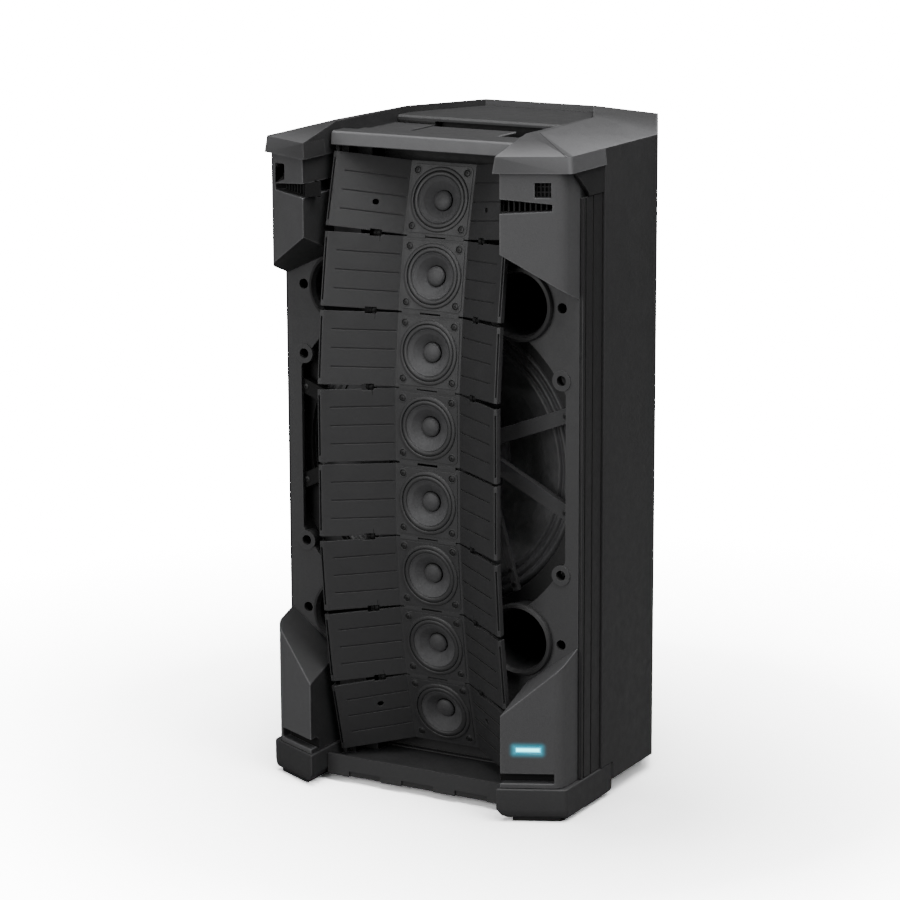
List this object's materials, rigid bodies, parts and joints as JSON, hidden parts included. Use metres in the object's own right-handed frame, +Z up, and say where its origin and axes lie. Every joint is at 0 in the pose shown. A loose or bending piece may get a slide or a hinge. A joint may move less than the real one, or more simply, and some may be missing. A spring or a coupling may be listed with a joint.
{
  "type": "line array speaker",
  "caption": "Portable powered line array loudspeaker, grille off: hinged column of small drivers in front of a woofer, ports, horned cap with handle, rear amplifier.",
  "frame": {"origin": "on the floor at the middle of the footprint", "axes": "+Z up, front with the drivers towards -Y, +X to the viewer's right"},
  "size_m": [0.334, 0.373, 0.654],
  "materials": {
    "shell_plastic": "fine textured polypropylene",
    "baffle_plastic": "fine textured moulding",
    "cap_plastic": "fine textured moulding, worn smooth on the edges",
    "handle_plastic": "fine textured moulding",
    "foot_plastic": "fine textured moulding",
    "trim_plastic": "smooth moulding",
    "port_plastic": "smooth moulding",
    "waveguide_plastic": "lightly grained moulding",
    "rubber": "dull",
    "basket_steel": "black powder coat",
    "driver_steel": "satin black",
    "magnet_steel": "dull ferrite and zinc-coated plates",
    "woofer_paper": "pressed pulp with a cloth roll surround",
    "driver_paper": "pressed pulp with a rubber roll surround",
    "brace_metal": "grey powder coat",
    "socket_metal": "black powder coat",
    "panel_metal": "black powder coat",
    "heat_sink_metal": "black anodised",
    "connector_plastic": "moulded, with plated contacts",
    "knob_plastic": "soft touch",
    "switch_plastic": "gloss",
    "slider_plastic": "plain",
    "circuit_board": "coated laminate",
    "cage_steel": "plain sheet",
    "pin_steel": "ground",
    "status_lens": "diffusing lens, lit"
  },
  "bodies": {
    "cabinet": {"rear_shell": "shell_plastic", "front_baffle": "baffle_plastic", "top_cap": "cap_plastic", "top_cross_bar": "cap_plastic", "carry_handle": "handle_plastic", "base_tray": "baffle_plastic", "upper_pillar_left": "cap_plastic", "upper_pillar_right": "cap_plastic", "lower_pillar_left": "cap_plastic", "lower_pillar_right": "cap_plastic", "foot_left": "foot_plastic", "foot_right": "foot_plastic", "foot_pads": "rubber", "side_trims": "trim_plastic", "port_tubes": "port_plastic", "woofer_frame": "basket_steel", "woofer_magnet": "magnet_steel", "array_brace": "brace_metal", "status_light": "status_lens", "pole_socket": "socket_metal", "amp_panel": "panel_metal", "heat_sink": "heat_sink_metal", "power_inlet": "connector_plastic", "input_jacks": "connector_plastic", "amplifier_board": "circuit_board", "power_supply": "cage_steel", "hinge_pins_centre": "pin_steel", "waveguide_4": "waveguide_plastic", "waveguide_5": "waveguide_plastic", "driver_frame_4": "driver_steel", "driver_frame_5": "driver_steel"},
    "module_3": {"waveguide_3": "waveguide_plastic", "driver_frame_3": "driver_steel", "hinge_pins_upper_1": "pin_steel"},
    "module_2": {"waveguide_2": "waveguide_plastic", "driver_frame_2": "driver_steel", "hinge_pins_upper_2": "pin_steel"},
    "module_1": {"waveguide_1": "waveguide_plastic", "driver_frame_1": "driver_steel"},
    "module_6": {"waveguide_6": "waveguide_plastic", "driver_frame_6": "driver_steel", "hinge_pins_lower_1": "pin_steel"},
    "module_7": {"waveguide_7": "waveguide_plastic", "driver_frame_7": "driver_steel", "hinge_pins_lower_2": "pin_steel"},
    "module_8": {"waveguide_8": "waveguide_plastic", "driver_frame_8": "driver_steel"},
    "cone_1": {"driver_cone_1": "driver_paper"},
    "cone_2": {"driver_cone_2": "driver_paper"},
    "cone_3": {"driver_cone_3": "driver_paper"},
    "cone_4": {"driver_cone_4": "driver_paper"},
    "cone_5": {"driver_cone_5": "driver_paper"},
    "cone_6": {"driver_cone_6": "driver_paper"},
    "cone_7": {"driver_cone_7": "driver_paper"},
    "cone_8": {"driver_cone_8": "driver_paper"},
    "woofer": {"woofer_cone": "woofer_paper"},
    "knob_1": {"channel_knob_1": "knob_plastic"},
    "knob_2": {"channel_knob_2": "knob_plastic"},
    "rocker": {"power_switch": "switch_plastic"},
    "slider": {"mode_switch": "slider_plastic"}
  },
  "joints": [
    {"name": "array_upper", "type": "hinge", "parent": "cabinet", "child": "module_3", "pos_m": [0, -0.1426, 0.402], "axis": [1, 0, 0], "range_deg": [0, 5.3]},
    {"name": "array_upper_middle", "type": "hinge", "parent": "module_3", "child": "module_2", "pos_m": [0, -0.13575, 0.47588], "axis": [1, 0, 0], "range_deg": [0, 3.2]},
    {"name": "array_upper_end", "type": "hinge", "parent": "module_2", "child": "module_1", "pos_m": [0, -0.12478, 0.54927], "axis": [1, 0, 0], "range_deg": [0, 5.6]},
    {"name": "array_lower", "type": "hinge", "parent": "cabinet", "child": "module_6", "pos_m": [0, -0.1426, 0.2536], "axis": [-1, 0, 0], "range_deg": [0, 5.3]},
    {"name": "array_lower_middle", "type": "hinge", "parent": "module_6", "child": "module_7", "pos_m": [0, -0.13575, 0.17972], "axis": [-1, 0, 0], "range_deg": [0, 3.2]},
    {"name": "array_lower_end", "type": "hinge", "parent": "module_7", "child": "module_8", "pos_m": [0, -0.12478, 0.10633], "axis": [-1, 0, 0], "range_deg": [0, 5.6]},
    {"name": "cone_1_stroke", "type": "slide", "parent": "module_1", "child": "cone_1", "axis": [0, -0.9699, 0.2436], "range_m": [-0.001, 0.001], "stiffness_N_per_m": 900},
    {"name": "cone_2_stroke", "type": "slide", "parent": "module_2", "child": "cone_2", "axis": [0, -0.989, 0.1478], "range_m": [-0.001, 0.001], "stiffness_N_per_m": 900},
    {"name": "cone_3_stroke", "type": "slide", "parent": "module_3", "child": "cone_3", "axis": [0, -0.9957, 0.0924], "range_m": [-0.001, 0.001], "stiffness_N_per_m": 900},
    {"name": "cone_4_stroke", "type": "slide", "parent": "cabinet", "child": "cone_4", "axis": [0, -1, 0], "range_m": [-0.001, 0.001], "stiffness_N_per_m": 900},
    {"name": "cone_5_stroke", "type": "slide", "parent": "cabinet", "child": "cone_5", "axis": [0, -1, 0], "range_m": [-0.001, 0.001], "stiffness_N_per_m": 900},
    {"name": "cone_6_stroke", "type": "slide", "parent": "module_6", "child": "cone_6", "axis": [0, -0.9957, -0.0924], "range_m": [-0.001, 0.001], "stiffness_N_per_m": 900},
    {"name": "cone_7_stroke", "type": "slide", "parent": "module_7", "child": "cone_7", "axis": [0, -0.989, -0.1478], "range_m": [-0.001, 0.001], "stiffness_N_per_m": 900},
    {"name": "cone_8_stroke", "type": "slide", "parent": "module_8", "child": "cone_8", "axis": [0, -0.9699, -0.2436], "range_m": [-0.001, 0.001], "stiffness_N_per_m": 900},
    {"name": "woofer_stroke", "type": "slide", "parent": "cabinet", "child": "woofer", "axis": [0, -1, 0], "range_m": [-0.004, 0.004], "stiffness_N_per_m": 2500},
    {"name": "level_knob_1", "type": "hinge", "parent": "cabinet", "child": "knob_1", "pos_m": [-0.04, 0.1815, 0.482], "axis": [0, 1, 0], "range_deg": [-140, 140]},
    {"name": "level_knob_2", "type": "hinge", "parent": "cabinet", "child": "knob_2", "pos_m": [-0.04, 0.1815, 0.442], "axis": [0, 1, 0], "range_deg": [-140, 140]},
    {"name": "power_rocker", "type": "hinge", "parent": "cabinet", "child": "rocker", "pos_m": [0.038, 0.1715, 0.146], "axis": [1, 0, 0], "range_deg": [-9, 9]},
    {"name": "mode_slider", "type": "slide", "parent": "cabinet", "child": "slider", "axis": [1, 0, 0], "range_m": [0, 0.0072]}
  ],
  "couplings": [
    {"joint": "array_upper_middle", "follows": "array_upper", "ratio": 0.60377},
    {"joint": "array_upper_end", "follows": "array_upper", "ratio": 1.0566},
    {"joint": "array_lower_middle", "follows": "array_lower", "ratio": 0.60377},
    {"joint": "array_lower_end", "follows": "array_lower", "ratio": 1.0566},
    {"joint": "cone_1_stroke", "follows": "cone_4_stroke", "ratio": 1},
    {"joint": "cone_2_stroke", "follows": "cone_4_stroke", "ratio": 1},
    {"joint": "cone_3_stroke", "follows": "cone_4_stroke", "ratio": 1},
    {"joint": "cone_5_stroke", "follows": "cone_4_stroke", "ratio": 1},
    {"joint": "cone_6_stroke", "follows": "cone_4_stroke", "ratio": 1},
    {"joint": "cone_7_stroke", "follows": "cone_4_stroke", "ratio": 1},
    {"joint": "cone_8_stroke", "follows": "cone_4_stroke", "ratio": 1}
  ]
}
